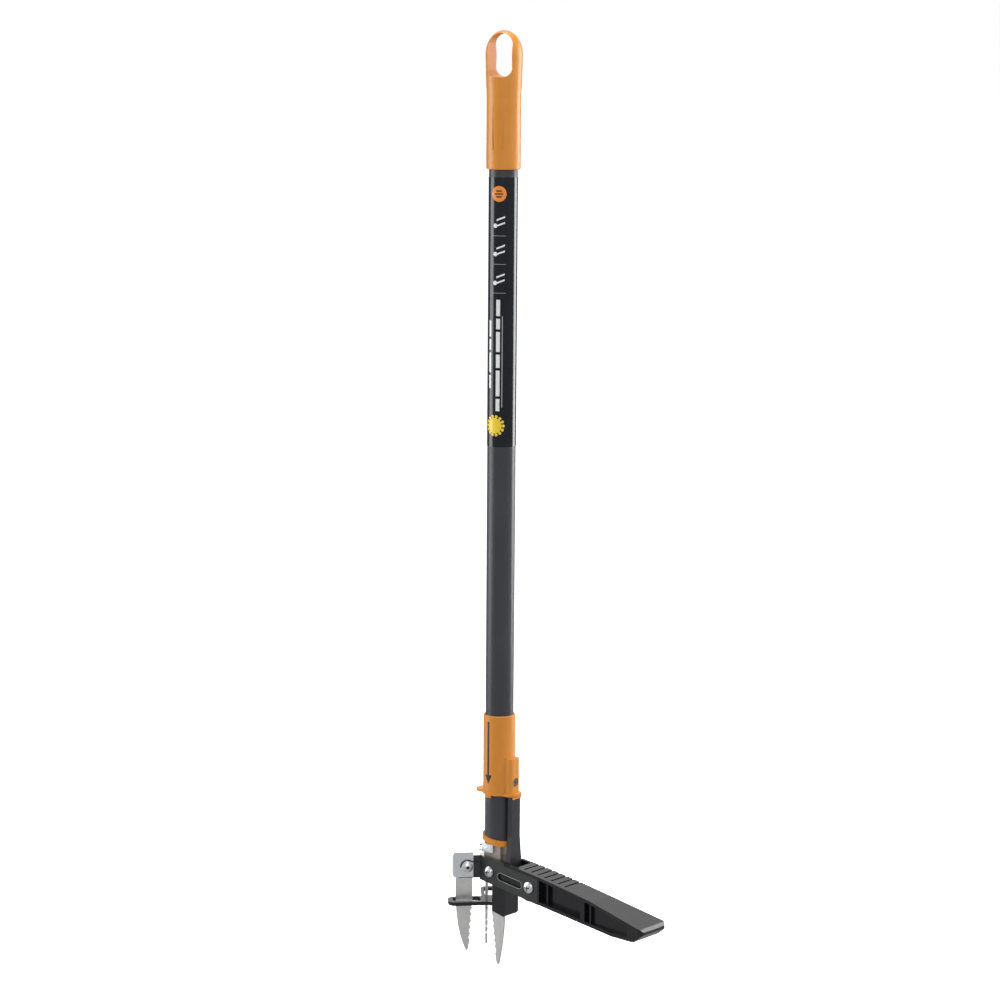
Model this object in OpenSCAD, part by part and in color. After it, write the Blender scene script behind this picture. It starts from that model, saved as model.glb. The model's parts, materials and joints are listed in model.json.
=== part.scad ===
// Stand up weeder with three claws, a foot lever and a hand ejector.
// Frame: origin at the fixed claw's tip, on the tube's axis. +Z runs up the tube.
// +X points along the foot lever. Millimetres.

/* [Shaft] */
// Overall height, from the fixed claw's tip to the top of the handle
total_h = 1000; // [900:10:1100]
// Outer diameter of the tube
tube_d = 30; // [29.5:0.1:30.4]
// Wall of the tube
tube_wall = 1.5; // [1.2:0.1:2]
// Length of the printed label
label_len = 282; // [200:2:300]

/* [Handle] */
// Length of the moulded handle
handle_len = 143; // [130:1:170]
// Diameter of the handle's round grip
grip_d = 36; // [35:0.2:37]
// Width of the hanging hole
hole_w = 27; // [24:1:30]
// Height of the hanging hole
hole_h = 45; // [40:1:46]

/* [Ejector] */
// Length of the sliding sleeve
sleeve_len = 84; // [70:2:100]
// Outer diameter of the sliding sleeve
sleeve_d = 34.2; // [33.6:0.2:35.2]
// Width of the ejector bar
bar_w = 13.2; // [11:0.2:15]
// Thickness of the ejector bar
bar_t = 6.3; // [5:0.1:7]

/* [Lever] */
// Distance from the tube's axis to the toe end of the pedal
pedal_reach = 211.6; // [200:0.2:220]
// Width of the pedal at its toe end
pedal_tip_w = 43; // [38:1:46]
// Thickness of the steel side plates
plate_t = 2.2; // [1.6:0.1:2.4]
// Number of grip grooves across the tread
groove_count = 7; // [5:1:7]

/* [Claws] */
// Angle between the lever's middle plane and each swinging claw
claw_angle = 47; // [45:1:50]
// Thickness of the claw blades
claw_t = 2.5; // [2:0.1:2.6]
// Spacing of the scallops on the claws' edges
tooth_pitch = 7.3; // [7:0.1:7.5]

/* [Hidden] */
$fn = 64;
eps = 0.01;
run_gap = 0.06;
fit_gap = 0.3;
screw_r = 3;
bolt_r = 4;

tube_r = tube_d / 2;
bore_r = tube_r - tube_wall;
tube_z = 136;
handle_z = total_h - handle_len;
tube_top = handle_z + 28;
label_t = 0.3;
label_top = handle_z - 8;

grip_r = grip_d / 2;
loop_r = 19.4;
dome_h = 25;
hole_z = total_h - 3 - hole_h;
handle_turn = 20;
panel_z = handle_z + 20;
panel_h = 48;
panel_depth = 0.9;

collar_r = 17.4;
collar_t = 5.5;
collar_tilt = 12;
pin_z = 140.5;
fork_x = 11;
fork_y = 10;
fork_z = 92;
plug_top = 176;
pin_r = 2;

pivot_z = 106;
plate_in = 13;
plate_out = plate_in + plate_t;
pedal_bolt_x = 55;
pedal_bolt_z = 99;
plate_end = 66.4;
lip_t = 3;
opening_x = 36;
opening_y = 11.6;
cheek_x = 9;
cheek_low = 92;
cheek_top = 112;

sleeve_z = 193.4;
flange_t = 2.6;
bar_x = 18;
bar_top = 228;
bar_foot = 99;
bar_step = sleeve_z - flange_t;
tongue_w = 9;
tongue_t = 3.4;
boss_w = 16.4;
boss_x = 23.2;
boss_h = 38;
boss_screw_z = 205.5;
flare_w = 19;
flare_top = 146;
flare_low = 118;

foot_top = 71.5;
foot_t = 4;
block_x = 18.8;
block_y = 11.3;
block_top = 91;
arm_len = 43.7;
arm_back = 6;
arm_front = 17;
slot_in = 8.5;
slot_out = 38.4;
slot_back = 2.6;
slot_front = 11.4;
foot_screw_z = 106;

hub_x = -14.9;
claw_pivot_s = 23.6;
claw_pivot_z = 109.6;
ear_in = 9.2;
ear_end = 33;
wall_t = 1.8;
front_in = ear_in + plate_t + fit_gap;
front_out = front_in + wall_t;
channel_in = 17.3;
channel_out = 38.4;
channel_low = 98.3;
channel_top = 125.6;
blade_top = 117;

// Height of the tread's upper face at distance x along the lever
function tread_z(x) = lookup(x, [
    [0, 121], [48, 115.4], [72, 111.9], [100, 107.2], [140, 99.7], [pedal_reach, 83.5]
]);
// Height of the lever's lower edge at distance x
function under_z(x) = lookup(x, [
    [-22, 96.7], [50, 82.9], [70, 82], [138, 72.4], [169, 69], [pedal_reach, 69]
]);
// Half width of the pedal at distance x
function half_w(x) = lookup(x, [
    [0, plate_out], [68, plate_out], [138, 16.2], [pedal_reach, pedal_tip_w / 2]
]);
// Point of a cubic curve through four control points
function curve(p, t) =
    pow(1 - t, 3) * p[0] + 3 * t * pow(1 - t, 2) * p[1] + 3 * t * t * (1 - t) * p[2] + pow(t, 3) * p[3];

// ---- shared shapes ----

// Cylinder along Y, centred on the middle plane
module rod_y(r, len) {
    rotate([90, 0, 0]) cylinder(r = r, h = len, center = true);
}

// Prism across Y from a side view drawn in X and Z
module side_prism(y0, y1) {
    translate([0, y1, 0]) rotate([90, 0, 0]) linear_extrude(y1 - y0) children();
}

// Place along the radial line of a swinging claw: x outward, y to its front, z up.
// side is -1 for the left claw and 1 for the right one.
module claw_place(side) {
    if (side < 0) {
        translate([hub_x, 0, 0]) rotate([0, 0, 180 + claw_angle]) children();
    } else {
        mirror([0, 1, 0]) translate([hub_x, 0, 0]) rotate([0, 0, 180 + claw_angle]) children();
    }
}

// Rounded head of a pan screw with a cross recess, on the plane z = 0
module pan_head(r, h) {
    slot = r * 0.24;
    difference() {
        intersection() {
            cylinder(r = r, h = h);
            translate([0, 0, h - r * 1.5]) sphere(r = r * 1.5);
        }
        for (a = [0, 90]) {
            rotate([0, 0, a]) translate([-r * 0.55, -slot / 2, h * 0.45]) cube([r * 1.1, slot, h]);
        }
    }
}

// Hexagon nut with its bore
module hex_nut(flat, h, bore) {
    difference() {
        cylinder(d = flat / cos(30), h = h, $fn = 6);
        translate([0, 0, -eps]) cylinder(r = bore, h = h + 2 * eps);
    }
}

// Screw along -z from its head plane, with a socket in its button head
module button_screw(head_r, head_h, len) {
    difference() {
        intersection() {
            cylinder(r = head_r, h = head_h);
            translate([0, 0, head_h - head_r * 1.35]) sphere(r = head_r * 1.35);
        }
        translate([0, 0, head_h * 0.3]) cylinder(r = head_r * 0.36, h = head_h, $fn = 6);
    }
    translate([0, 0, -len]) cylinder(r = screw_r, h = len + eps);
}

// ---- shaft ----

module shaft_tube() {
    color("dimgray") difference() {
        translate([0, 0, tube_z]) cylinder(r = tube_r, h = tube_top - tube_z);
        translate([0, 0, tube_z - 1]) cylinder(r = bore_r, h = tube_top - tube_z + 2);
        translate([0, 0, pin_z]) rod_y(pin_r, tube_d + 2);
    }
}

module shaft_label() {
    color("black") translate([0, 0, label_top - label_len]) difference() {
        cylinder(r = tube_r + label_t, h = label_len);
        translate([0, 0, -1]) cylinder(r = tube_r, h = label_len + 2);
    }
}

// Half outline of the handle: round grip, slight swell, pointed dome
module handle_outline() {
    swell_z = total_h - dome_h - 26;
    dome = [for (a = [0:6:84]) [loop_r * cos(a), total_h - dome_h + dome_h * sin(a)]];
    polygon(concat(
        [[0, handle_z], [grip_r - 0.8, handle_z], [grip_r, handle_z + 0.8], [grip_r, swell_z - 18]],
        [[(grip_r + loop_r) / 2, swell_z]],
        dome,
        [[0, total_h]]
    ));
}

// Outline of the hanging hole, in X and Z: an arch over a base with round corners
module hole_outline() {
    corner_r = 9;
    arch_z = hole_z + hole_h - hole_w / 2;
    translate([0, arch_z]) circle(r = hole_w / 2);
    for (s = [-1, 1]) {
        translate([s * (hole_w / 2 - corner_r), hole_z + corner_r]) circle(r = corner_r);
    }
    translate([eps - hole_w / 2, hole_z + corner_r]) square([hole_w - 2 * eps, arch_z - hole_z - corner_r]);
    translate([corner_r - hole_w / 2, hole_z + eps]) square([hole_w - 2 * corner_r, corner_r]);
}

// The handle is turned on the tube, so its hole does not face the lever squarely
module handle_grip() {
    panel_half = 20;
    color("orange") rotate([0, 0, handle_turn]) difference() {
        rotate_extrude() handle_outline();
        translate([0, 0, handle_z - 1]) cylinder(r = tube_r, h = tube_top - handle_z + 1);
        side_prism(-grip_d, grip_d) hole_outline();
        for (a = [-90, 90]) {
            rotate([0, 0, a - panel_half]) rotate_extrude(angle = 2 * panel_half) polygon([
                [grip_r - panel_depth, panel_z],
                [grip_r + panel_depth, panel_z],
                [grip_r + panel_depth, panel_z + 2 * panel_h]
            ]);
        }
    }
}

module tube_top_plug() {
    color("black") translate([0, 0, tube_top - 14]) cylinder(r = bore_r, h = 14);
}

// Ring that slopes down toward the lever
module tube_collar() {
    reach = 2 * collar_r;
    color("orange") difference() {
        intersection() {
            translate([0, 0, pin_z - collar_r]) cylinder(r = collar_r, h = reach);
            translate([0, 0, pin_z]) rotate([0, collar_tilt, 0])
                translate([-reach, -reach, -collar_t / 2]) cube([2 * reach, 2 * reach, collar_t]);
        }
        translate([0, 0, pin_z - reach]) cylinder(r = tube_r, h = 2 * reach);
    }
}

// ---- head ----

module head_fork() {
    slot_top = 119;
    color("gray") difference() {
        union() {
            translate([-fork_x, -fork_y, fork_z]) cube([2 * fork_x, 2 * fork_y, tube_z - fork_z]);
            translate([0, 0, tube_z - eps]) cylinder(r = bore_r, h = plug_top - tube_z);
        }
        translate([-fork_x - 1, -claw_t / 2, fork_z - 1]) cube([2 * fork_x + 2, claw_t, slot_top - fork_z + 1]);
        translate([0, 0, pivot_z]) rod_y(bolt_r, 3 * fork_y);
        for (x = [-6.5, 6.5]) {
            translate([x, 0, fork_z + 5]) rod_y(pin_r, 3 * fork_y);
        }
        translate([0, 0, pin_z]) rod_y(pin_r, tube_d + 2);
        translate([-fork_x - 1, 0, 126]) rotate([0, 90, 0]) cylinder(r = screw_r, h = 13);
    }
}

module head_pin() {
    color("silver") translate([0, 0, pin_z]) rod_y(pin_r, tube_d - 0.6);
}

module head_bracket() {
    color("silver") difference() {
        union() {
            translate([-fork_x - 2, -9, 120]) cube([2, 18, 15]);
            translate([-fork_x - 2, -fork_y - 2, 126]) cube([15, 2, 9]);
            translate([-fork_x - 2, -fork_y - 2, 126]) cube([2, 4, 9]);
        }
        translate([-fork_x - 3, 0, 126]) rotate([0, 90, 0]) cylinder(r = screw_r, h = 4);
    }
}

module head_bolt() {
    head_len = 12.5;
    color("silver") translate([-fork_x - 2, 0, 126]) rotate([0, 90, 0]) {
        cylinder(r = screw_r, h = 13.5);
        translate([0, 0, -head_len]) difference() {
            cylinder(r = 4.1, h = head_len);
            translate([0, 0, -1]) cylinder(r = 2.9, h = 3);
        }
    }
}

// Blade outline in its own plane: edge is the scalloped side, back the smooth side
module blade_outline(edge, back, tip_x, tip_z, top) {
    dir = back > edge ? 1 : -1;
    bend_z = tip_z + 62;
    edge_z = tip_z + 52;
    spine = [
        [back, bend_z],
        [back - dir * 0.6, tip_z + 34],
        [back - dir * 4.5, tip_z + 14],
        [tip_x + dir * 0.9, tip_z]
    ];
    tip_edge = [tip_x - dir * 0.9, tip_z];
    difference() {
        polygon(concat(
            [[edge, top], [back, top]],
            [for (i = [0:12]) curve(spine, i / 12)],
            [tip_edge, [tip_x - dir * 3.2, tip_z + 11], [edge, edge_z]]
        ));
        for (i = [0:5]) {
            z = edge_z - 1 - i * tooth_pitch;
            f = (edge_z - z) / (edge_z - tip_z - 11);
            x = edge + f * (tip_x - dir * 3.2 - edge);
            translate([x - dir * 2.6, z]) circle(r = 4, $fn = 32);
        }
    }
}

module fixed_claw() {
    color("silver") difference() {
        side_prism(-claw_t / 2, claw_t / 2) blade_outline(-7.8, 9.7, 0.5, 0, 118);
        translate([0, 0, pivot_z]) rod_y(bolt_r, 3 * fork_y);
        for (x = [-6.5, 6.5]) {
            translate([x, 0, fork_z + 5]) rod_y(pin_r, 3 * fork_y);
        }
    }
}

module fixed_claw_rivets() {
    color("silver") for (x = [-6.5, 6.5]) {
        translate([x, 0, fork_z + 5]) {
            rod_y(pin_r, 2 * fork_y);
            for (s = [-1, 1]) {
                translate([0, s * (fork_y + 0.5), 0]) rod_y(3.2, 1);
            }
        }
    }
}

module pivot_bolt() {
    washer_t = 0.8;
    color("silver") translate([0, 0, pivot_z]) {
        translate([0, plate_out + 6, 0]) rotate([90, 0, 0]) cylinder(r = bolt_r, h = 2 * plate_out + 6 + washer_t);
        translate([0, -plate_out - fit_gap, 0]) rotate([90, 0, 0]) union() {
            cylinder(r = 5.6, h = washer_t);
            translate([0, 0, washer_t]) pan_head(5.3, 3.4);
        }
    }
}

module pivot_nut() {
    color("silver") translate([0, plate_out + fit_gap, pivot_z]) rotate([-90, 0, 0]) hex_nut(12.5, 5, bolt_r);
}

module pivot_spacers() {
    color("silver") for (s = [-1, 1]) {
        translate([0, s * (fork_y + plate_in) / 2, pivot_z]) difference() {
            rod_y(7, plate_in - fork_y - 0.6);
            rod_y(bolt_r, plate_in);
        }
    }
}

// ---- lever ----

// Where the lever plates end and their ears begin
plate_start = ear_corner(ear_in + plate_t, plate_out)[0];

// Side view of a lever plate, in X and Z
module plate_outline() {
    polygon([
        [plate_start, under_z(hub_x)],
        [plate_end, under_z(plate_end)],
        [plate_end, tread_z(plate_end) - lip_t],
        [21, tread_z(21) - lip_t],
        [19, tread_z(19)],
        [plate_start, 121.5]
    ]);
}

// Long rounded window of a lever plate
module plate_window(r) {
    for (p = [[15.5, 103], [41, 99]]) {
        translate(p) circle(r = r);
    }
    translate([15.5, 103]) rotate([0, 0, atan2(-4, 25.5)])
        translate([0, eps - r]) square([norm([25.5, 4]), 2 * (r - eps)]);
}

// Where a face of the ear, off from the claw's line, meets a plate face at distance y from the middle
function ear_corner(off, y) =
    let (s = (y - off * cos(claw_angle)) / sin(claw_angle))
    [hub_x + off * sin(claw_angle) - s * cos(claw_angle), -y];

// Point of the ear at distance s along the claw's line
function ear_point(off, s) =
    [hub_x + off * sin(claw_angle) - s * cos(claw_angle), -off * cos(claw_angle) - s * sin(claw_angle)];

// Plan of the bent ear
module ear_plan() {
    ear_out = ear_in + plate_t;
    polygon([
        [plate_start, -plate_in],
        ear_corner(ear_in, plate_in),
        ear_point(ear_in, ear_end),
        ear_point(ear_out, ear_end),
        [plate_start, -plate_out]
    ]);
}

// One lever plate with its bent ear; the ear carries a claw's pivot screw
module side_plate(side) {
    mirror([0, side > 0 ? 1 : 0, 0]) color("darkslategray") difference() {
        union() {
            side_prism(-plate_out, -plate_in) plate_outline();
            translate([0, 0, 97]) linear_extrude(24.5) ear_plan();
        }
        translate([0, 0, pivot_z]) rod_y(bolt_r + run_gap, 3 * plate_out);
        translate([pedal_bolt_x, 0, pedal_bolt_z]) rod_y(screw_r, 3 * plate_out);
        side_prism(-plate_out - 1, -plate_in + 1) plate_window(4.2);
        claw_place(-1) translate([claw_pivot_s, 0, claw_pivot_z]) rod_y(screw_r, 4 * ear_in);
    }
}

// Long pocket in one side of the pedal, between two distances along it
module pedal_pocket(x0, x1, depth) {
    steps = 6;
    top = [for (i = [0:steps]) let (x = x0 + (x1 - x0) * i / steps) [x, tread_z(x) - 3.4]];
    low = [for (i = [steps:-1:0]) let (x = x0 + (x1 - x0) * i / steps) [x, under_z(x) + 3.6]];
    for (s = [-1, 1]) {
        mirror([0, s > 0 ? 0 : 1, 0]) side_prism(half_w(x1) - depth, half_w(x1) + 6) polygon(concat(top, low));
    }
}

module pedal_moulding() {
    stations = [22, 48, 72, 100, 140];
    under = [196, 169, 138, 70, 50];
    tip = [[pedal_reach - 3, tread_z(pedal_reach - 3)], [pedal_reach, 81], [pedal_reach - 0.6, 78]];
    groove_pitch = 9.2;
    groove_r = 1.1;
    groove_depth = 1.1;
    corner_r = 6;
    corner_x = pedal_reach - corner_r;
    corner_y = pedal_tip_w / 2 - corner_r;
    color("black") difference() {
        intersection() {
            side_prism(-pedal_tip_w, pedal_tip_w) polygon(concat(
                [for (x = stations) [x, tread_z(x)]],
                tip,
                [[201, 69.8]],
                [for (x = under) [x, under_z(x)]],
                [[opening_x, under_z(opening_x) + 2], [opening_x, cheek_low], [cheek_x, cheek_low]],
                [[cheek_x, cheek_top], [22, cheek_top]]
            ));
            translate([0, 0, 60]) linear_extrude(70) polygon(concat(
                [for (x = [cheek_x, 68, 138]) [x, -half_w(x)]],
                [for (a = [-90:15:90]) [corner_x + corner_r * cos(a), corner_r * sin(a) + sign(a) * corner_y]],
                [for (x = [138, 68, cheek_x]) [x, half_w(x)]]
            ));
        }
        // room for the side plates under the tread's lips
        for (s = [-1, 1]) {
            mirror([0, s > 0 ? 0 : 1, 0]) side_prism(plate_in, plate_out + 1) polygon([
                [cheek_x - 1, 70],
                [plate_end, 70],
                [plate_end, tread_z(plate_end) - lip_t],
                [21, tread_z(21) - lip_t],
                [cheek_x - 1, tread_z(21) - lip_t]
            ]);
        }
        // opening for the ejector bar
        translate([0, -opening_y, 60]) cube([opening_x, 2 * opening_y, 80]);
        translate([pedal_bolt_x, 0, pedal_bolt_z]) rod_y(screw_r, 3 * plate_out);
        for (i = [0:groove_count - 1]) {
            x = 45 + i * groove_pitch;
            translate([x, 0, tread_z(x) - groove_depth]) {
                translate([-groove_r, -9.5, 0]) cube([2 * groove_r, plate_out + 12, 4]);
                translate([0, -9.5, 0]) cylinder(r = groove_r, h = 4);
            }
        }
        // pockets with low ribs inside them
        pedal_pocket(69, 126, 4);
        pedal_pocket(69, 77, 8);
        pedal_pocket(79, 126, 8);
        pedal_pocket(131.5, 191, 3.5);
        pedal_pocket(131.5, 138.5, 8);
        pedal_pocket(140.5, 191, 7);
    }
}

module pedal_screw() {
    color("silver") translate([pedal_bolt_x, 0, pedal_bolt_z]) {
        translate([0, plate_out + 5, 0]) rotate([90, 0, 0]) cylinder(r = screw_r, h = 2 * plate_out + 5);
        translate([0, -plate_out, 0]) rotate([90, 0, 0]) pan_head(6.1, 3.8);
    }
}

module pedal_nut() {
    color("silver") translate([pedal_bolt_x, plate_out, pedal_bolt_z]) rotate([-90, 0, 0])
        hex_nut(10, 4.4, screw_r);
}

// ---- swinging claws ----

module claw_screw(side) {
    color("silver") claw_place(side) translate([claw_pivot_s, front_out + fit_gap, claw_pivot_z])
        rotate([-90, 0, 0]) button_screw(5.8, 3.6, front_out + fit_gap + wall_t + claw_t / 2 + 5);
}

module claw_nut(side) {
    color("silver") claw_place(side)
        translate([claw_pivot_s, -claw_t / 2 - wall_t - fit_gap, claw_pivot_z])
        rotate([90, 0, 0]) hex_nut(10, 4.4, screw_r);
}

// Point on the torsion spring's wire: a closed coil that runs along -y, with a straight leg
function spring_point(i, per_turn, turn_r, pitch) =
    [turn_r * cos(360 * i / per_turn), -pitch * i / per_turn, turn_r * sin(360 * i / per_turn)];

// Ring of a wire of radius r about point p, square to the coil's tangent at angle a
function wire_ring(p, a, r, sides) =
    [for (j = [0:sides - 1]) let (b = 360 * j / sides)
        p + [r * cos(b) * cos(a), r * sin(b), r * cos(b) * sin(a)]];

// Torsion spring round the claw's screw, as a swept wire
module claw_spring(side) {
    wire = 1.5;
    turn_r = 4.8;
    turns = 3.75;
    per_turn = 16;
    sides = 8;
    rings = turns * per_turn;
    coil = [for (i = [0:rings]) wire_ring(
        spring_point(i, per_turn, turn_r, wire + 0.12), 360 * i / per_turn, wire / 2, sides)];
    points = [for (ring = coil) for (p = ring) p];
    skin = [for (i = [0:rings - 1]) for (j = [0:sides - 1])
        [i * sides + j, (i + 1) * sides + j, (i + 1) * sides + (j + 1) % sides, i * sides + (j + 1) % sides]];
    start_cap = [for (j = [0:sides - 1]) j];
    end_cap = [for (j = [sides - 1:-1:0]) rings * sides + j];
    color("dimgray") claw_place(side) translate([claw_pivot_s, ear_in - 0.9, claw_pivot_z])
        polyhedron(points, concat(skin, [start_cap, end_cap]));
}

// Zinc channel that carries the blade and straddles the ear
module claw_bracket(side) {
    inner = -claw_t / 2;
    color("silver") claw_place(side) difference() {
        union() {
            translate([channel_in, front_in, channel_low])
                cube([channel_out - channel_in, wall_t, channel_top - channel_low]);
            translate([channel_in, inner - wall_t, channel_low])
                cube([channel_out - channel_in, wall_t, blade_top - channel_low]);
            side_wall = [
                [inner - wall_t, channel_low],
                [front_out, channel_low],
                [front_out, channel_top],
                [inner - wall_t, blade_top]
            ];
            translate([channel_out - wall_t, 0, 0]) rotate([90, 0, 90]) linear_extrude(wall_t) polygon(side_wall);
        }
        translate([claw_pivot_s, 0, claw_pivot_z]) rod_y(screw_r + run_gap, 60);
        claw_rivet_holes();
    }
}

module claw_rivet_holes() {
    for (z = [102.5, 113]) {
        translate([32, 0, z]) rod_y(pin_r, 3 * claw_t);
    }
}

module claw_blade(side) {
    color("silver") claw_place(side) difference() {
        side_prism(-claw_t / 2, claw_t / 2) blade_outline(16.7, 35, 22.6, 13, blade_top - 1);
        translate([claw_pivot_s, 0, claw_pivot_z]) rod_y(screw_r + run_gap, 60);
        claw_rivet_holes();
    }
}

module claw_rivets(side) {
    back = -claw_t / 2 - wall_t;
    color("silver") claw_place(side) for (z = [102.5, 113]) {
        translate([32, 0, z]) rotate([90, 0, 0]) {
            translate([0, 0, -claw_t / 2]) cylinder(r = pin_r, h = claw_t + wall_t);
            translate([0, 0, -claw_t / 2 - 1]) cylinder(r = 3.2, h = 1);
            translate([0, 0, -back]) cylinder(r = 3.2, h = 1);
        }
    }
}

// ---- ejector ----

// Rounded bar of the boss on the sleeve's lever side, as a plan view
module boss_plan() {
    translate([0, -boss_w / 2]) square([boss_x - 4, boss_w]);
    for (s = [-1, 1]) {
        translate([boss_x - 4, s * (boss_w / 2 - 4)]) circle(r = 4);
    }
    translate([0, -boss_w / 2 + 4]) square([boss_x, boss_w - 8]);
}

module eject_sleeve() {
    tab_drop = 3;
    flange_low = sleeve_z - flange_t;
    color("orange") difference() {
        union() {
            translate([0, 0, flange_low]) cylinder(r = sleeve_d / 2, h = sleeve_len + flange_t - 0.5);
            translate([0, 0, sleeve_z + sleeve_len - 0.5]) cylinder(r1 = sleeve_d / 2, r2 = sleeve_d / 2 - 0.5, h = 0.5);
            translate([0, 0, flange_low]) linear_extrude(boss_h + flange_t) boss_plan();
            translate([0, 0, flange_low]) linear_extrude(flange_t) flange_plan();
            // short tabs below the flange
            for (s = [-1, 1]) {
                mirror([0, s > 0 ? 1 : 0, 0]) rotate([0, 0, -107]) rotate_extrude(angle = 24)
                    translate([tube_r + run_gap, flange_low - tab_drop]) square([2, tab_drop + 1]);
            }
            translate([bar_x + bar_t, -bar_w / 2, flange_low - tab_drop]) cube([1.2, bar_w, tab_drop + 1]);
        }
        translate([0, 0, flange_low - tab_drop - 1]) cylinder(r = tube_r + 0.08, h = sleeve_len + 20);
        translate([bar_x, -tongue_w / 2, flange_low - 1]) cube([tongue_t, tongue_w, bar_top - flange_low + 1]);
        translate([tube_r + 1, 0, boss_screw_z]) rotate([0, 90, 0]) cylinder(r = screw_r, h = 20);
        translate([bar_x + tongue_t - eps, 0, boss_screw_z]) rotate([0, 90, 0]) cylinder(r = 4.4, h = 5);
        translate([tube_r - 1, -5, boss_screw_z - 5]) cube([bar_x - tube_r + 1, 10, 10]);
    }
}

// Plan of the push flange: a ring with a lobe on the lever side and one opposite
module flange_plan() {
    reach = 27.5;
    half = 11;
    r = 9;
    translate([r - reach, -half]) square([2 * (reach - r), 2 * half]);
    translate([eps - reach, r - half]) square([2 * (reach - eps), 2 * (half - r)]);
    for (x = [r - reach, reach - r]) {
        for (s = [-1, 1]) {
            translate([x, s * (half - r)]) circle(r = r);
        }
    }
    circle(r = 17.7);
}

module eject_bar() {
    color("dimgray") difference() {
        union() {
            translate([bar_x, -bar_w / 2, bar_foot]) cube([bar_t, bar_w, bar_step - bar_foot]);
            translate([bar_x, -tongue_w / 2, bar_step - 1]) cube([tongue_t, tongue_w, bar_top - bar_step + 1]);
            translate([bar_x, 0, 0]) rotate([90, 0, 90]) linear_extrude(bar_t) polygon([
                [-bar_w / 2, flare_top],
                [bar_w / 2, flare_top],
                [flare_w / 2, flare_low],
                [flare_w / 2, bar_foot],
                [-flare_w / 2, bar_foot],
                [-flare_w / 2, flare_low]
            ]);
        }
        for (z = [boss_screw_z, foot_screw_z]) {
            translate([bar_x - 1, 0, z]) rotate([0, 90, 0]) cylinder(r = screw_r, h = bar_t + 2);
        }
    }
}

module eject_screw() {
    color("silver") translate([bar_x + tongue_t, 0, boss_screw_z]) rotate([0, 90, 0]) difference() {
        union() {
            translate([0, 0, -6]) cylinder(r = screw_r, h = 6.1);
            cylinder(r = 3.6, h = 1.2);
        }
        translate([0, 0, 0.5]) cylinder(r = 1.7, h = 2, $fn = 6);
    }
}

module eject_nut() {
    color("silver") translate([tube_r + 0.4, 0, boss_screw_z]) difference() {
        translate([0, -5, -5]) cube([bar_x - tube_r - 0.4, 10, 10]);
        translate([-1, 0, 0]) rotate([0, 90, 0]) cylinder(r = screw_r, h = 8);
    }
}

// One arm of the foot plate round a swinging claw, as a plan view in the claw's place.
// Here and in the slot the straight sides lie a hair inside their round corners.
module foot_arm_plan() {
    r = 8;
    width = arm_front + arm_back;
    translate([0, eps - arm_back]) square([arm_len - r, width - 2 * eps]);
    translate([arm_len - r - 1, r - arm_back]) square([r + 1 - eps, width - 2 * r]);
    for (n = [r - arm_back, arm_front - r]) {
        translate([arm_len - r, n]) circle(r = r);
    }
}

// Long rounded slot for a swinging claw, in the claw's place
module foot_slot_plan() {
    r = 3.5;
    length = slot_out - slot_in;
    width = slot_back + slot_front;
    translate([slot_in + r, eps - slot_back]) square([length - 2 * r, width - 2 * eps]);
    translate([slot_in + eps, r - slot_back]) square([length - 2 * eps, width - 2 * r]);
    for (s = [slot_in + r, slot_out - r]) {
        for (n = [r - slot_back, slot_front - r]) {
            translate([s, n]) circle(r = r);
        }
    }
}

// Plan of the foot plate: two slotted arms and a web with a hollow edge between them
module foot_plan() {
    fillet_r = 20;
    fillet_x = -44;
    web_x = 1;
    web_back = -31;
    web_half = 20;
    difference() {
        union() {
            for (side = [-1, 1]) {
                claw_place(side) foot_arm_plan();
            }
            difference() {
                polygon([[web_x, -block_y], [web_x, block_y], [web_back, web_half], [web_back, -web_half]]);
                translate([fillet_x, 0]) circle(r = fillet_r);
            }
        }
        for (side = [-1, 1]) {
            claw_place(side) foot_slot_plan();
        }
    }
}

module ejector_foot() {
    low = foot_top - foot_t;
    color("black") difference() {
        union() {
            translate([0, 0, low]) linear_extrude(foot_t) foot_plan();
            side_prism(-block_y, block_y) polygon([
                [0.8, 62],
                [block_x - 2, 58],
                [block_x, 60],
                [block_x, block_top],
                [0.8, block_top]
            ]);
            // neck beside the head, up to the bar
            translate([fork_x + 2, -block_y, block_top - 1]) cube([bar_x - fork_x - 2, 2 * block_y, 116 - block_top]);
        }
        // passage of the fixed claw
        translate([-8.6, -claw_t / 2 - 0.5, 50]) cube([19.2, claw_t + 1, 60]);
        translate([fork_x, 0, foot_screw_z]) rotate([0, 90, 0]) cylinder(r = screw_r, h = 12);
    }
}

module foot_screw() {
    color("silver") translate([bar_x + bar_t, 0, foot_screw_z]) rotate([0, 90, 0]) {
        translate([0, 0, -11.3]) cylinder(r = screw_r, h = 11.4);
        pan_head(5.2, 3);
    }
}

module foot_nut() {
    color("silver") translate([fork_x + 0.6, 0, foot_screw_z]) difference() {
        translate([0, -5, -5]) cube([1.4, 10, 10]);
        translate([-1, 0, 0]) rotate([0, 90, 0]) cylinder(r = screw_r, h = 8);
    }
}

shaft_tube();
shaft_label();
handle_grip();
tube_top_plug();
tube_collar();
head_fork();
head_pin();
head_bolt();
head_bracket();
fixed_claw();
fixed_claw_rivets();
pivot_bolt();
pivot_nut();
pivot_spacers();
side_plate(-1);  // left_side_plate
side_plate(1);  // right_side_plate
pedal_moulding();
pedal_screw();
pedal_nut();
claw_screw(-1);  // left_claw_screw
claw_screw(1);  // right_claw_screw
claw_nut(-1);  // left_claw_nut
claw_nut(1);  // right_claw_nut
claw_spring(-1);  // left_claw_spring
claw_spring(1);  // right_claw_spring
claw_bracket(-1);  // left_claw_bracket
claw_bracket(1);  // right_claw_bracket
claw_blade(-1);  // left_claw_blade
claw_blade(1);  // right_claw_blade
claw_rivets(-1);  // left_claw_rivets
claw_rivets(1);  // right_claw_rivets
eject_sleeve();
eject_bar();
eject_screw();
eject_nut();
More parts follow.
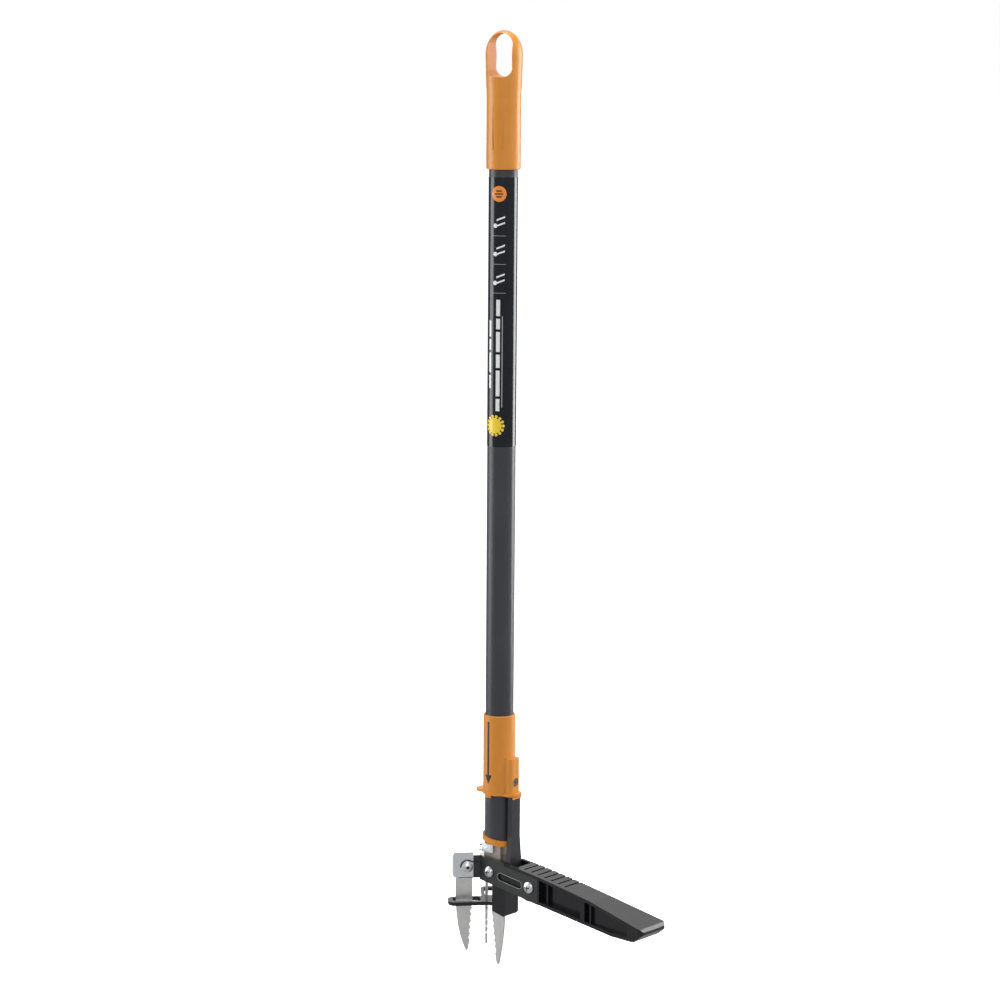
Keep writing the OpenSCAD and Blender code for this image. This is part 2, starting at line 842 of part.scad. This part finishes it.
ejector_foot();
foot_screw();
foot_nut();
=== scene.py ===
import json
import math

import bmesh
import bpy
from mathutils import Matrix, Vector


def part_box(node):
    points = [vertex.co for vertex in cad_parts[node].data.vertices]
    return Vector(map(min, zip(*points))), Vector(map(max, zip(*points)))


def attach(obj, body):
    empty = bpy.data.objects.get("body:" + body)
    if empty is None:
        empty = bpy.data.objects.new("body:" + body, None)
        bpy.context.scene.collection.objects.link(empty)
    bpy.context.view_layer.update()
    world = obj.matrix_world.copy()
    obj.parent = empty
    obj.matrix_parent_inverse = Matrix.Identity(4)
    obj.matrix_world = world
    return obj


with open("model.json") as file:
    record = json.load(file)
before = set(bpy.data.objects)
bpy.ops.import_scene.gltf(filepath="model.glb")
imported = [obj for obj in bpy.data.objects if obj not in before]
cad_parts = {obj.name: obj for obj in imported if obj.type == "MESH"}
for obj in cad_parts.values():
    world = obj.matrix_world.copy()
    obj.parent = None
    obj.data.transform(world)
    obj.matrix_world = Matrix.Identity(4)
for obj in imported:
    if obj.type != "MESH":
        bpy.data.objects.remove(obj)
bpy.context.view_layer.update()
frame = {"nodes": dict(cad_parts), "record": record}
nodes = frame["nodes"]

# Sizes of the CAD part in metres, as in part.scad.
LABEL_R = 0.0153
SLEEVE_R = 0.0171
PLATE_Y = 0.0152
WINDOW_R = 0.0042
WINDOW_ENDS = ((0.0155, 0.103), (0.041, 0.099))
CLAW_HUB_X, CLAW_ANGLE = -0.0149, 47.0
CLAW_PIVOT_S, CLAW_PIVOT_Z = 0.0236, 0.1096
CLAW_HEAD_FACE, CLAW_HEAD_H = 0.0138, 0.0036
BRACKET_FACE = 0.0135
# Node, head radius, head height and body of each screw with a cross recess on the lever's left side.
PAN_SCREWS = (("pivot_bolt", 0.0053, 0.0034, "shaft"), ("pedal_screw", 0.0061, 0.0038, "pedal"))

# Sizes of the pieces added here, in metres.
PRINT_T, PRINT_STEP = 0.00008, 0.0008
RIM_WIRE_R = 0.00028
SOCKET_R = 0.002
LEG_WIRE_R, LEG_CLEARANCE = 0.0007, 0.0003
# Painted shade inside a screw's recess, a dark solid, in head heights: its back below a pan head's top, its
# back above a socket head's seat, and its depth.
CROSS_BACK, SOCKET_BACK, RECESS_SHADE_DEPTH = 0.5, 0.32, 0.3

# Camera: seen from the lever's left side, a little above.
CAM_AZIMUTH, CAM_ELEVATION, CAM_ROLL = 40.0, 9.0, 0.41
CAM_DISTANCE, CAM_HEIGHT, CAM_SIDE = 3.265, 0.5085, -0.0011
CAM_LENS, CAM_SENSOR = 111.13, 36.0

FLOOR_Z, FLOOR_REACH = -0.002, 30.0
FLOOR_GLOW, FLOOR_BOUNCE = 0.82, 0.35
# Room brightness from behind the tool round to the camera's side: position, grey.
ROOM_STOPS = ((0.03, 1.0), (0.09, 0.06), (0.4, 0.08), (0.74, 0.52))


# ---- camera, floor and light ----


def make_camera():
    a, e, r = (math.radians(v) for v in (CAM_AZIMUTH, CAM_ELEVATION, CAM_ROLL))
    right = Vector((math.cos(a), math.sin(a), 0))
    back = Vector((math.sin(a) * math.cos(e), -math.cos(a) * math.cos(e), math.sin(e)))
    up = back.cross(right)
    place = right * CAM_SIDE + Vector((0, 0, CAM_HEIGHT)) + back * CAM_DISTANCE
    rolled_right = math.cos(r) * right + math.sin(r) * up
    rolled_up = math.cos(r) * up - math.sin(r) * right
    data = bpy.data.cameras.new("camera")
    data.lens, data.sensor_width = CAM_LENS, CAM_SENSOR
    data.clip_start, data.clip_end = 0.05, 50
    camera = bpy.data.objects.new("camera", data)
    turn = Matrix((rolled_right, rolled_up, back)).transposed().to_4x4()
    camera.matrix_world = Matrix.Translation(place) @ turn
    bpy.context.scene.collection.objects.link(camera)
    bpy.context.scene.camera = camera
    return right, back


def make_floor():
    """Plain pale floor, with little bounce light on the tool."""
    mesh = bpy.data.meshes.new("floor")
    s = FLOOR_REACH
    corners = [(-s, -s, FLOOR_Z), (s, -s, FLOOR_Z), (s, s, FLOOR_Z), (-s, s, FLOOR_Z)]
    mesh.from_pydata(corners, [], [(0, 1, 2, 3)])
    floor = bpy.data.objects.new("floor", mesh)
    bpy.context.scene.collection.objects.link(floor)
    mat = bpy.data.materials.new("floor")
    mat.use_nodes = True
    tree = mat.node_tree
    shader = tree.nodes["Principled BSDF"]
    shader.inputs["Base Color"].default_value = (0.9, 0.9, 0.9, 1)
    shader.inputs["Roughness"].default_value = 0.95
    shader.inputs["Specular IOR Level"].default_value = 0.0
    shader.inputs["Emission Color"].default_value = (1, 1, 1, 1)
    shader.inputs["Emission Strength"].default_value = FLOOR_GLOW
    dim = tree.nodes.new("ShaderNodeBsdfDiffuse")
    dim.inputs["Color"].default_value = (FLOOR_BOUNCE, FLOOR_BOUNCE, FLOOR_BOUNCE, 1)
    path = tree.nodes.new("ShaderNodeLightPath")
    mix = tree.nodes.new("ShaderNodeMixShader")
    tree.links.new(path.outputs["Is Camera Ray"], mix.inputs["Fac"])
    tree.links.new(dim.outputs["BSDF"], mix.inputs[1])
    tree.links.new(shader.outputs["BSDF"], mix.inputs[2])
    tree.links.new(mix.outputs["Shader"], tree.nodes["Material Output"].inputs["Surface"])
    mesh.materials.append(mat)


def area_light(name, place, aim, size, power):
    data = bpy.data.lights.new(name, "AREA")
    data.shape = "RECTANGLE"
    data.size, data.size_y = size
    data.energy = power
    light = bpy.data.objects.new(name, data)
    light.location = place
    light.rotation_euler = (Vector(aim) - Vector(place)).to_track_quat("-Z", "Y").to_euler()
    bpy.context.scene.collection.objects.link(light)
    return light


def make_world(back):
    """White sheet behind the tool, dark beside it, dim room in front; the camera sees plain white."""
    world = bpy.data.worlds.new("studio")
    bpy.context.scene.world = world
    world.use_nodes = True
    tree = world.node_tree
    sky = tree.nodes["Background"]
    coords = tree.nodes.new("ShaderNodeTexCoord")
    level = tree.nodes.new("ShaderNodeVectorMath")
    level.operation = "MULTIPLY"
    level.inputs[1].default_value = (1, 1, 0)
    unit = tree.nodes.new("ShaderNodeVectorMath")
    unit.operation = "NORMALIZE"
    facing = tree.nodes.new("ShaderNodeVectorMath")
    facing.operation = "DOT_PRODUCT"
    facing.inputs[1].default_value = Vector((back.x, back.y, 0)).normalized() * 0.5
    half = tree.nodes.new("ShaderNodeMath")
    half.operation = "ADD"
    half.inputs[1].default_value = 0.5
    room = tree.nodes.new("ShaderNodeValToRGB")
    while len(room.color_ramp.elements) < len(ROOM_STOPS):
        room.color_ramp.elements.new(0.5)
    for stop, (place, grey) in zip(room.color_ramp.elements, ROOM_STOPS):
        stop.position = place
        stop.color = (grey, grey, grey, 1)
    path = tree.nodes.new("ShaderNodeLightPath")
    strength = tree.nodes.new("ShaderNodeMath")
    strength.operation = "MAXIMUM"
    tree.links.new(coords.outputs["Generated"], level.inputs[0])
    tree.links.new(level.outputs["Vector"], unit.inputs[0])
    tree.links.new(unit.outputs["Vector"], facing.inputs[0])
    tree.links.new(facing.outputs["Value"], half.inputs[0])
    tree.links.new(half.outputs["Value"], room.inputs["Fac"])
    tree.links.new(room.outputs["Color"], strength.inputs[0])
    tree.links.new(path.outputs["Is Camera Ray"], strength.inputs[1])
    tree.links.new(strength.outputs["Value"], sky.inputs["Strength"])
    sky.inputs["Color"].default_value = (1, 1, 1, 1)


def make_lights(right, back):
    flat = Vector((back.x, back.y, 0)).normalized()
    centre = Vector((0, 0, 0.5))
    area_light("soft_left", centre - right * 1.7 - flat * 0.15, (0, 0, 0.5), (1.1, 2.2), 32)
    area_light("soft_right", centre + right * 1.6 - flat * 0.85, (0, 0, 0.5), (0.8, 2.2), 40)
    area_light("top", Vector((0.1, 0.1, 2.4)), (0.1, 0, 0.2), (1.4, 1.4), 26)
    fill = area_light("fill_right", centre + right * 1.9 + flat * 1.0, (0, 0, 0.5), (1.6, 2.0), 18)
    fill.visible_glossy = False
    area_light("front", centre + flat * 3.2 + Vector((0, 0, 1.4)), (0, 0, 0.4), (1.6, 1.6), 22)


# ---- materials ----


class Build:
    """Short calls for making one node material."""

    def __init__(self, name):
        self.mat = bpy.data.materials.new(name)
        self.mat.use_nodes = True
        self.tree = self.mat.node_tree
        self.shader = self.tree.nodes["Principled BSDF"]
        coords = self.tree.nodes.new("ShaderNodeTexCoord")
        self.coord = coords.outputs["Object"]

    def set(self, **values):
        for key, value in values.items():
            self.shader.inputs[key.replace("_", " ")].default_value = value
        return self

    def node(self, kind, **values):
        n = self.tree.nodes.new(kind)
        for key, value in values.items():
            n.inputs[key.replace("_", " ")].default_value = value
        return n

    def link(self, a, b):
        self.tree.links.new(a, b)

    def stretched(self, scale):
        n = self.node("ShaderNodeMapping", Scale=scale)
        self.link(self.coord, n.inputs["Vector"])
        return n.outputs["Vector"]

    def noise(self, scale, detail, rough, vector=None):
        n = self.node("ShaderNodeTexNoise", Scale=scale, Detail=detail, Roughness=rough)
        self.link(vector or self.coord, n.inputs["Vector"])
        return n.outputs["Fac"]

    def ramp(self, value, stops):
        n = self.tree.nodes.new("ShaderNodeValToRGB")
        while len(n.color_ramp.elements) < len(stops):
            n.color_ramp.elements.new(0.5)
        for e, (p, c) in zip(n.color_ramp.elements, stops):
            e.position = p
            e.color = (*c, 1)
        self.link(value, n.inputs["Fac"])
        return n.outputs["Color"]

    def map(self, value, lo, hi, out_lo, out_hi):
        n = self.tree.nodes.new("ShaderNodeMapRange")
        for key, v in zip(("From Min", "From Max", "To Min", "To Max"), (lo, hi, out_lo, out_hi)):
            n.inputs[key].default_value = v
        self.link(value, n.inputs["Value"])
        return n.outputs["Result"]

    def bump(self, height, strength, distance, normal=None):
        n = self.node("ShaderNodeBump", Strength=strength, Distance=distance)
        self.link(height, n.inputs["Height"])
        if normal is not None:
            self.link(normal, n.inputs["Normal"])
        return n.outputs["Normal"]

    def out(self, socket, name):
        self.link(socket, self.shader.inputs[name])
        return self


def moulded(name, base, light, dark, rough, grain, bump, spread):
    """Injection-moulded plastic: fine spark-eroded grain, a little cloudiness and handling marks."""
    b = Build(name)
    clouds = b.noise(38.0, 3.0, 0.55)
    fine = b.noise(grain, 2.0, 0.6)
    colour = b.ramp(clouds, [(0.3, dark), (0.5, base), (0.72, light)])
    b.out(colour, "Base Color")
    wear = b.noise(150.0, 4.0, 0.65)
    b.out(b.map(wear, 0.3, 0.7, rough - spread, rough + spread), "Roughness")
    b.out(b.bump(fine, bump, 0.0002), "Normal")
    return b


def powder_coat(name, base, light, rough, grain, bump):
    """Powder coat or paint on metal: slight orange peel and fine grain."""
    b = Build(name)
    peel = b.noise(grain, 2.0, 0.5)
    fine = b.noise(grain * 4.5, 1.0, 0.5)
    clouds = b.noise(24.0, 2.0, 0.5)
    b.out(b.ramp(clouds, [(0.35, base), (0.7, light)]), "Base Color")
    b.out(b.map(fine, 0.35, 0.65, rough - 0.06, rough + 0.06), "Roughness")
    first = b.bump(peel, bump, 0.0004)
    b.out(b.bump(fine, bump * 0.7, 0.0001, first), "Normal")
    return b


def metal(name, base, dark, rough, stretch, bump, spread):
    """Bare or plated metal with fine directional lines and faint stains."""
    b = Build(name)
    b.set(Metallic=1.0)
    lines = b.noise(900.0, 3.0, 0.6, b.stretched(stretch))
    stains = b.noise(120.0, 4.0, 0.6)
    b.out(b.ramp(stains, [(0.3, dark), (0.6, base)]), "Base Color")
    b.out(b.map(lines, 0.3, 0.7, rough - spread, rough + spread), "Roughness")
    b.out(b.bump(lines, bump, 0.0001), "Normal")
    return b


# Plastics: base, light and dark colour, roughness, grain, bump, spread of roughness.
PLASTICS = {
    "orange_plastic": (
        (0.67, 0.255, 0.030), (0.69, 0.264, 0.033), (0.65, 0.247, 0.028), 0.36, 3200.0, 0.12, 0.025
    ),
    "black_plastic": (
        (0.007, 0.007, 0.009), (0.009, 0.009, 0.011), (0.006, 0.006, 0.008), 0.24, 2600.0, 0.1, 0.04
    ),
}
# Paints and films: base and light colour, roughness, grain, bump.
COATINGS = {
    "tube_coating": ((0.036, 0.038, 0.046), (0.042, 0.044, 0.053), 0.4, 1500.0, 0.1),
    "black_steel": ((0.021, 0.023, 0.022), (0.026, 0.028, 0.027), 0.4, 1100.0, 0.14),
    "spring_steel": ((0.018, 0.018, 0.018), (0.03, 0.03, 0.03), 0.3, 3000.0, 0.05),
    "label_film": ((0.012, 0.013, 0.017), (0.014, 0.015, 0.02), 0.16, 500.0, 0.02),
    "bar_paint": ((0.013, 0.013, 0.017), (0.017, 0.017, 0.022), 0.38, 1300.0, 0.1),
}
# Metals: base and dark colour, roughness, stretch of the lines, bump, spread of roughness.
METALS = {
    "zinc_steel": ((0.88, 0.91, 0.94), (0.84, 0.87, 0.91), 0.3, (1, 1, 0.15), 0.01, 0.03),
    "claw_steel": ((0.84, 0.84, 0.83), (0.77, 0.77, 0.76), 0.36, (1, 1, 0.06), 0.08, 0.08),
    "head_casting": ((0.42, 0.37, 0.33), (0.30, 0.26, 0.23), 0.5, (1, 1, 1), 0.25, 0.1),
    "dull_steel": ((0.24, 0.24, 0.25), (0.16, 0.16, 0.17), 0.4, (1, 1, 1), 0.02, 0.04),
}
# Print, painted shade in screw recesses and the painted highlight on window edges: colour.
INKS = {
    "ink_white": (0.78, 0.78, 0.78),
    "ink_pale": (0.30, 0.31, 0.33),
    "ink_orange": (0.80, 0.26, 0.035),
    "ink_yellow": (0.86, 0.62, 0.05),
    "dark_ink_and_recess_shade": (0.035, 0.016, 0.008),
    "window_edge_highlight": (0.32, 0.33, 0.32),
}
# CAD nodes whose finish differs from their slot's.
FINISHES = {"eject_bar": "bar_paint", "eject_screw": "dull_steel"}


def make_materials():
    made = {}
    for maker, table in ((moulded, PLASTICS), (powder_coat, COATINGS), (metal, METALS)):
        for name, values in table.items():
            made[name] = maker(name, *values).mat
    for name, colour in INKS.items():
        light = tuple(min(1.0, 1.08 * c) for c in colour)
        made[name] = powder_coat(name, colour, light, 0.3, 900.0, 0.02).mat
    return made


# ---- making pieces ----


def add_piece(name, data, material, body):
    piece = bpy.data.objects.new(name, data)
    bpy.context.scene.collection.objects.link(piece)
    data.materials.append(material)
    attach(piece, body)


def add_mesh(name, bm, material, body):
    bmesh.ops.recalc_face_normals(bm, faces=bm.faces)
    mesh = bpy.data.meshes.new(name)
    bm.to_mesh(mesh)
    bm.free()
    add_piece(name, mesh, material, body)


def add_wire(name, places, radius, closed, material, body):
    curve = bpy.data.curves.new(name, "CURVE")
    curve.dimensions = "3D"
    curve.bevel_depth = radius
    curve.bevel_resolution = 2 if closed else 3
    curve.use_fill_caps = not closed
    spline = curve.splines.new("POLY")
    spline.points.add(len(places) - 1)
    for point, place in zip(spline.points, places):
        point.co = (*place, 1)
    spline.use_cyclic_u = closed
    add_piece(name, curve, material, body)


def claw_axes(mirror):
    """A swinging claw's outward and forward directions, and the point of its pivot on the blade's plane."""
    a = math.radians(CLAW_ANGLE)
    out = Vector((-math.cos(a), -math.sin(a) * mirror, 0))
    normal = Vector((math.sin(a), -math.cos(a) * mirror, 0))
    return out, normal, Vector((CLAW_HUB_X, 0, CLAW_PIVOT_Z)) + out * CLAW_PIVOT_S


# ---- printed marks: plain generic shapes, with no lettering ----


def strip(height, half_width, samples):
    """Columns (u, low, high) of a shape whose half height at u is height(u)."""
    us = [half_width * (2 * i / samples - 1) for i in range(samples + 1)]
    return [(u, -height(u), height(u)) for u in us]


def disc(r):
    return strip(lambda u: math.sqrt(max(r * r - u * u, (0.04 * r) ** 2)), r, 18)


def bar(width, height):
    return strip(lambda u: height / 2, width / 2, max(2, round(width / PRINT_STEP)))


def slope(width, rise, thick):
    """Straight stroke that climbs by rise over its width."""
    return [(u, lo + rise * u / width, hi + rise * u / width) for u, lo, hi in bar(width, thick)]


def wrapped(name, marks, r, ink, body):
    """One object of thin closed patches on a cylinder; a mark is (angle in degrees, z, lift, columns)."""
    bm = bmesh.new()
    for angle, z, lift, columns in marks:
        rings = []
        for u, low, high in columns:
            a = math.radians(angle) + u / r
            corner = []
            for reach, dz in ((0, low), (PRINT_T + lift, low), (PRINT_T + lift, high), (0, high)):
                corner.append(bm.verts.new(((r + reach) * math.cos(a), (r + reach) * math.sin(a), z + dz)))
            rings.append(corner)
        for one, two in zip(rings, rings[1:]):
            for i in range(4):
                j = (i + 1) % 4
                bm.faces.new((one[i], two[i], two[j], one[j]))
        bm.faces.new(rings[0])
        bm.faces.new(rings[-1][::-1])
    add_mesh(name, bm, ink, body)


def make_label_print(inks):
    """Round badge, three line panels, rows of plain bars for the wording, and a rayed yellow disc."""

    def add(name, marks, ink):
        wrapped(name, marks, LABEL_R, inks[ink], "shaft")

    front, left = -67, -104
    white, pale = [], []
    stroke, dot, rule = slope(0.009, 0.0035, 0.0018), disc(0.0023), bar(0.016, 0.0005)
    for panel_z in (0.803, 0.7735, 0.7435):
        for dz in (0.0035, -0.0025):
            white.append((front + 8, panel_z + dz, 0, stroke))
        white.append((front - 14, panel_z - 0.004, 0, dot))
        pale.append((front, panel_z - 0.0145, 0, rule))
    z, word_gap, word_w = 0.722, 0.0028, 0.0042
    left_words, left_drop, left_word_w = 4, 0.022, 0.003
    for i, length in enumerate((0.017, 0.011, 0.021, 0.014, 0.027, 0.013)):
        white.append((front, z - length / 2, 0, bar(word_w, length)))
        if i < left_words:
            white.append((left, z - left_drop - length / 2, 0, bar(left_word_w, length)))
        z -= length + word_gap
    divider, divider_z = bar(0.0011, 0.096), 0.657
    pale.append((front + 17, divider_z, 0, divider))
    add("label_marks", white, "ink_white")
    add("label_lines", pale, "ink_pale")
    badge_z, disc_r, row_t = 0.832, 0.0082, 0.0014
    add("label_badge", [(front, badge_z, 0, disc(disc_r))], "ink_orange")
    rows = ((0.003, 0.006), (0, 0.009), (-0.003, 0.006))
    add("badge_bars", [(front, badge_z + dz, PRINT_T, bar(w, row_t)) for dz, w in rows], "dark_ink_and_recess_shade")
    sun_z, sun_angle, rays, ray_reach, ray_r = 0.5895, -80, 14, 0.0098, 0.0016
    sun = [(sun_angle, sun_z, 0, disc(disc_r))]
    for i in range(rays):
        a = 2 * math.pi * i / rays
        turn = math.degrees(ray_reach * math.cos(a) / LABEL_R)
        sun.append((sun_angle + turn, sun_z + ray_reach * math.sin(a), 0, disc(ray_r)))
    add("label_sun", sun, "ink_yellow")


def make_sleeve_arrow(inks):
    """Plain downward arrow on the ejector sleeve."""
    angle, tip_z, half_width, steepness = -93, 0.203, 0.0045, 2.2
    shank, shank_z, corner_t = bar(0.0026, 0.058), 0.242, 0.0001
    top = steepness * half_width
    us = [half_width * (i / 8 - 1) for i in range(17)]
    point = [(u, min(abs(u) * steepness, top - corner_t), top) for u in us]
    marks = [(angle, tip_z, 0, point), (angle, shank_z, 0, shank)]
    wrapped("sleeve_arrow", marks, SLEEVE_R, inks["dark_ink_and_recess_shade"], "ejector")


# ---- small parts ----


def make_window_rims(inks):
    """Bright rim round the window of each lever plate: a painted highlight where light catches the window's
    edge.
    """
    (x0, z0), (x1, z1) = WINDOW_ENDS
    tilt = math.atan2(z1 - z0, x1 - x0)
    for side, y in (("left", -PLATE_Y), ("right", PLATE_Y)):
        places = []
        for (x, z), start in (((x1, z1), -90), ((x0, z0), 90)):
            for i in range(13):
                a = math.radians(start + 15 * i) + tilt
                places.append((x + WINDOW_R * math.cos(a), y, z + WINDOW_R * math.sin(a)))
        name = side + "_window_rim"
        add_wire(name, places, RIM_WIRE_R, True, inks["window_edge_highlight"], "pedal")


def recess_shade_fill(name, outline, place, axis, depth, material, body):
    """Painted shade in a screw's recess, a dark solid: an outline in metres, square to axis, filled to the
    given depth.
    """
    bm = bmesh.new()
    floor_ring = [bm.verts.new((x, y, 0)) for x, y in outline]
    face_ring = [bm.verts.new((x, y, depth)) for x, y in outline]
    for i in range(len(outline)):
        j = (i + 1) % len(outline)
        bm.faces.new((floor_ring[i], floor_ring[j], face_ring[j], face_ring[i]))
    bm.faces.new(floor_ring[::-1])
    bm.faces.new(face_ring)
    turn = Vector(axis).to_track_quat("Z", "Y").to_matrix().to_4x4()
    bm.transform(Matrix.Translation(place) @ turn)
    add_mesh(name, bm, material, body)


def cross(head_r):
    """Plan of a cross recess as in part.scad's pan heads, a hair smaller."""
    long, short = 0.54 * head_r, 0.115 * head_r
    quarter = [(long, short), (short, short), (short, long)]
    points = []
    for c, k in ((1, 0), (0, 1), (-1, 0), (0, -1)):
        points += [(c * x - k * y, k * x + c * y) for x, y in quarter]
    return points


def make_recess_shades(inks):
    # The dark ink here paints the shade inside the pan heads' cross recesses and the claw screws' hex
    # sockets.
    ink = inks["dark_ink_and_recess_shade"]
    for node, head_r, head_h, body in PAN_SCREWS:
        low, high = (Vector(corner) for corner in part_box(node))
        middle = (low + high) / 2
        place = Vector((middle.x, low.y + CROSS_BACK * head_h, middle.z))
        depth = RECESS_SHADE_DEPTH * head_h
        recess_shade_fill(node + "_recess", cross(head_r), place, (0, -1, 0), depth, ink, body)
    corners = [i * math.pi / 3 for i in range(6)]
    socket = [(SOCKET_R * math.cos(a), SOCKET_R * math.sin(a)) for a in corners]
    depth = RECESS_SHADE_DEPTH * CLAW_HEAD_H
    for side, mirror in (("left", 1), ("right", -1)):
        _, normal, pivot = claw_axes(mirror)
        place = pivot + normal * (CLAW_HEAD_FACE + SOCKET_BACK * CLAW_HEAD_H)
        recess_shade_fill(side + "_claw_socket_shade", socket, place, normal, depth, ink, "pedal")


def make_spring_legs(inks):
    """Free end of each torsion spring: over the claw's screw and in toward the lever."""
    bend_r, leg_in, leg_up = 0.0075, 0.0115, 0.0035
    lift = BRACKET_FACE + LEG_WIRE_R + LEG_CLEARANCE
    turns = [math.radians(15 * i) for i in range(9)]
    steel = inks["spring_steel"]
    for side, mirror in (("left", 1), ("right", -1)):
        out, normal, pivot = claw_axes(mirror)
        centre = pivot + normal * lift
        places = []
        for t in turns:
            places.append(centre + out * (bend_r * math.cos(t)) + Vector((0, 0, bend_r * math.sin(t))))
        places.append(centre - out * leg_in + Vector((0, 0, leg_up)))
        add_wire(side + "_spring_leg", places, LEG_WIRE_R, False, steel, "pedal")


# ---- run ----

right, back = make_camera()
make_floor()
make_world(back)
make_lights(right, back)
bpy.context.scene.view_settings.view_transform = "Standard"
materials = make_materials()

for entry in frame["record"]["subparts"]:
    node = nodes[entry["node"]]
    for slot in node.material_slots:
        slot.link = "OBJECT"
        slot.material = materials[FINISHES.get(entry["node"], entry["material_slot"])]
    bevel = node.modifiers.new("edges", "BEVEL")
    bevel.width, bevel.segments = 0.0003, 2
    bevel.limit_method, bevel.angle_limit = "ANGLE", math.radians(35)
    bevel.use_clamp_overlap = True

make_recess_shades(materials)
make_label_print(materials)
make_sleeve_arrow(materials)
make_window_rims(materials)
make_spring_legs(materials)
